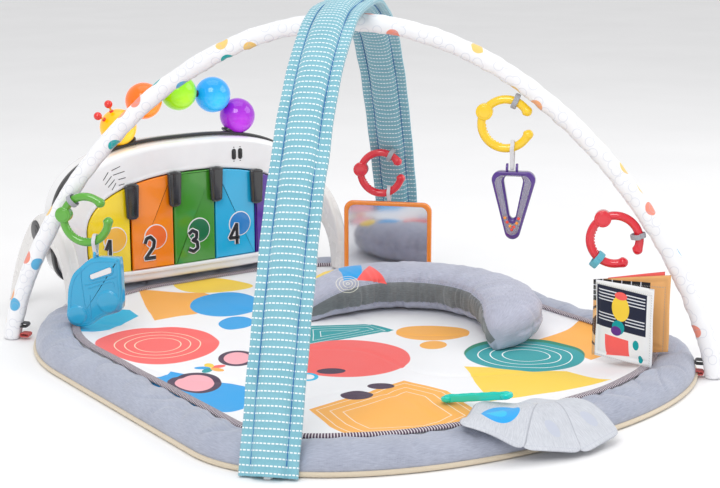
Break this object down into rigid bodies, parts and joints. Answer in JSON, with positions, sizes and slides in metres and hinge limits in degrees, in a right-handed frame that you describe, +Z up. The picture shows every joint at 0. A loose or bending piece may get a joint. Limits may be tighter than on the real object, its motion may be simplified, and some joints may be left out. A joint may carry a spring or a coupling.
{
  "type": "activity play gym",
  "caption": "Padded baby mat with two crossed fabric arches, hanging toys on link rings, a crescent pillow, picture cards and a tilting kick piano with light balls.",
  "frame": {"origin": "centre of the mat on the floor", "axes": "+Z up; +Y from the round front of the mat to the piano; +X to the right as seen from the front"},
  "size_m": [0.728, 0.999, 0.4745],
  "materials": {
    "white_plastic": "glossy",
    "black_plastic": "glossy",
    "aqua_strap": "stitched padded strap",
    "tube": "smooth flexible tube",
    "coral_page": "printed fabric page",
    "dark_page": "printed fabric page",
    "tan_page": "printed fabric page",
    "cyan_ribbon": "satin ribbon",
    "card": "printed flexible card",
    "teal_plastic": "glossy",
    "circuit_board": "printed circuit board",
    "yellow_plastic": "glossy",
    "orange_plastic": "glossy",
    "green_plastic": "glossy",
    "cyan_plastic": "glossy",
    "purple_plastic": "glossy",
    "lime_plastic": "glossy, lets light through",
    "grey_webbing": "woven webbing",
    "cream_binding": "woven binding",
    "printed_pad": "printed woven polyester",
    "heather_grey": "soft brushed knit",
    "mirror_film": "mirror film",
    "white_webbing": "woven webbing",
    "red_plastic": "glossy",
    "striped_piping": "striped corded piping",
    "clear_plastic": "clear moulded plastic",
    "printed_sleeve": "printed woven sleeve"
  },
  "bodies": {
    "mat": {"mat_backing": "cream_binding", "mat_pad": "printed_pad", "mat_rim": "heather_grey", "striped_piping": "striped_piping"},
    "arches": {"white_sleeve": "printed_sleeve", "blue_strap": "aqua_strap", "white_tube_left": "tube", "white_tube_right": "tube", "blue_tube_front": "tube", "blue_tube_back": "tube", "loop_green": "grey_webbing", "loop_yellow": "grey_webbing", "loop_red_book": "grey_webbing", "loop_red_mirror": "grey_webbing"},
    "ring_green": {"ring_green": "green_plastic"},
    "ring_yellow": {"ring_yellow": "yellow_plastic"},
    "ring_red_book": {"ring_red_book": "red_plastic"},
    "ring_red_mirror": {"ring_red_mirror": "red_plastic"},
    "van": {"van_toy": "cyan_plastic", "van_tab": "white_webbing"},
    "triangle": {"triangle_frame": "purple_plastic", "triangle_window": "clear_plastic", "triangle_tab": "white_webbing"},
    "mirror": {"mirror_frame": "orange_plastic", "mirror_plate": "mirror_film", "mirror_back": "orange_plastic", "mirror_tab": "white_webbing"},
    "book": {"book_middle": "tan_page", "book_ribbon": "cyan_ribbon"},
    "book_front": {"book_front": "dark_page"},
    "book_back": {"book_back": "coral_page"},
    "pillow": {"pillow": "heather_grey"},
    "cards": {"card_link": "teal_plastic", "card_top": "card", "card_bottom": "card"},
    "piano_stand": {"stand_leg_left": "white_plastic", "stand_leg_right": "white_plastic"},
    "piano_body": {"piano_front": "white_plastic", "piano_back": "white_plastic", "piano_trim": "black_plastic", "black_key_1": "black_plastic", "black_key_2": "black_plastic", "black_key_3": "black_plastic", "black_key_4": "black_plastic", "circuit_board": "circuit_board", "speaker": "black_plastic", "battery_door": "white_plastic", "light_ball_1": "yellow_plastic", "light_ball_2": "orange_plastic", "light_ball_3": "lime_plastic", "light_ball_4": "cyan_plastic", "light_ball_5": "purple_plastic"},
    "key_1": {"key_1": "yellow_plastic"},
    "key_2": {"key_2": "orange_plastic"},
    "key_3": {"key_3": "green_plastic"},
    "key_4": {"key_4": "cyan_plastic"},
    "key_5": {"key_5": "purple_plastic"},
    "volume_switch": {"volume_switch": "black_plastic"},
    "mode_switch": {"mode_switch": "black_plastic"}
  },
  "joints": [
    {"name": "arches_lift", "type": "slide", "parent": "mat", "child": "arches", "axis": [0, 0, 1], "range_m": [0, 0.06]},
    {"name": "green_ring_swing", "type": "hinge", "parent": "arches", "child": "ring_green", "pos_m": [-0.27908, 0.24035, 0.20119], "axis": [0.6964, -0.7176, 0], "range_deg": [-25, 0]},
    {"name": "yellow_ring_swing", "type": "hinge", "parent": "arches", "child": "ring_yellow", "pos_m": [0.14177, -0.16529, 0.34624], "axis": [0.6964, -0.7176, 0], "range_deg": [-20, 20]},
    {"name": "book_ring_swing", "type": "hinge", "parent": "arches", "child": "ring_red_book", "pos_m": [0.25121, -0.28093, 0.18095], "axis": [0.6964, -0.7176, 0], "range_deg": [-18, 0]},
    {"name": "mirror_ring_swing", "type": "hinge", "parent": "arches", "child": "ring_red_mirror", "pos_m": [0.23374, 0.22706, 0.21267], "axis": [0.6964, -0.7176, 0], "range_deg": [-8, 4]},
    {"name": "van_swing", "type": "hinge", "parent": "ring_green", "child": "van", "pos_m": [-0.25826, 0.2189, 0.14726], "axis": [0.6964, -0.7176, 0], "range_deg": [-20, 20]},
    {"name": "triangle_swing", "type": "hinge", "parent": "ring_yellow", "child": "triangle", "pos_m": [0.13999, -0.16346, 0.28785], "axis": [0.6964, -0.7176, 0], "range_deg": [-25, 25]},
    {"name": "mirror_swing", "type": "hinge", "parent": "ring_red_mirror", "child": "mirror", "pos_m": [0.23238, 0.22845, 0.15698], "axis": [0.6964, -0.7176, 0], "range_deg": [-12, 6]},
    {"name": "book_swing", "type": "hinge", "parent": "ring_red_book", "child": "book", "pos_m": [0.2168, -0.24548, 0.15007], "axis": [0.6964, -0.7176, 0], "range_deg": [-20, 0]},
    {"name": "book_front_turn", "type": "hinge", "parent": "book", "child": "book_front", "pos_m": [0.2075, -0.2515, 0.075], "axis": [0, 0, 1], "range_deg": [-60, 0]},
    {"name": "book_back_turn", "type": "hinge", "parent": "book", "child": "book_back", "pos_m": [0.2075, -0.2515, 0.075], "axis": [0, 0, 1], "range_deg": [0, 50]},
    {"name": "pillow_lift", "type": "slide", "parent": "mat", "child": "pillow", "axis": [0, 0, 1], "range_m": [0, 0.1]},
    {"name": "cards_lift", "type": "slide", "parent": "mat", "child": "cards", "axis": [0, 0, 1], "range_m": [0, 0.1]},
    {"name": "piano_lift", "type": "slide", "parent": "mat", "child": "piano_stand", "axis": [0, 0, 1], "range_m": [0, 0.1]},
    {"name": "piano_tilt", "type": "hinge", "parent": "piano_stand", "child": "piano_body", "pos_m": [-0.025, 0.415, 0.124], "axis": [1, 0, 0], "range_deg": [-45, 0]},
    {"name": "key_1_press", "type": "slide", "parent": "piano_body", "child": "key_1", "axis": [0, 1, 0], "range_m": [0, 0.0025], "stiffness_N_per_m": 400},
    {"name": "key_2_press", "type": "slide", "parent": "piano_body", "child": "key_2", "axis": [0, 1, 0], "range_m": [0, 0.0025], "stiffness_N_per_m": 400},
    {"name": "key_3_press", "type": "slide", "parent": "piano_body", "child": "key_3", "axis": [0, 1, 0], "range_m": [0, 0.0025], "stiffness_N_per_m": 400},
    {"name": "key_4_press", "type": "slide", "parent": "piano_body", "child": "key_4", "axis": [0, 1, 0], "range_m": [0, 0.0025], "stiffness_N_per_m": 400},
    {"name": "key_5_press", "type": "slide", "parent": "piano_body", "child": "key_5", "axis": [0, 1, 0], "range_m": [0, 0.0025], "stiffness_N_per_m": 400},
    {"name": "volume_switch_slide", "type": "slide", "parent": "piano_body", "child": "volume_switch", "axis": [0, 0, 1], "range_m": [-0.0028, 0.0028]},
    {"name": "mode_switch_slide", "type": "slide", "parent": "piano_body", "child": "mode_switch", "axis": [0, 0, 1], "range_m": [-0.0028, 0.0028]}
  ]
}
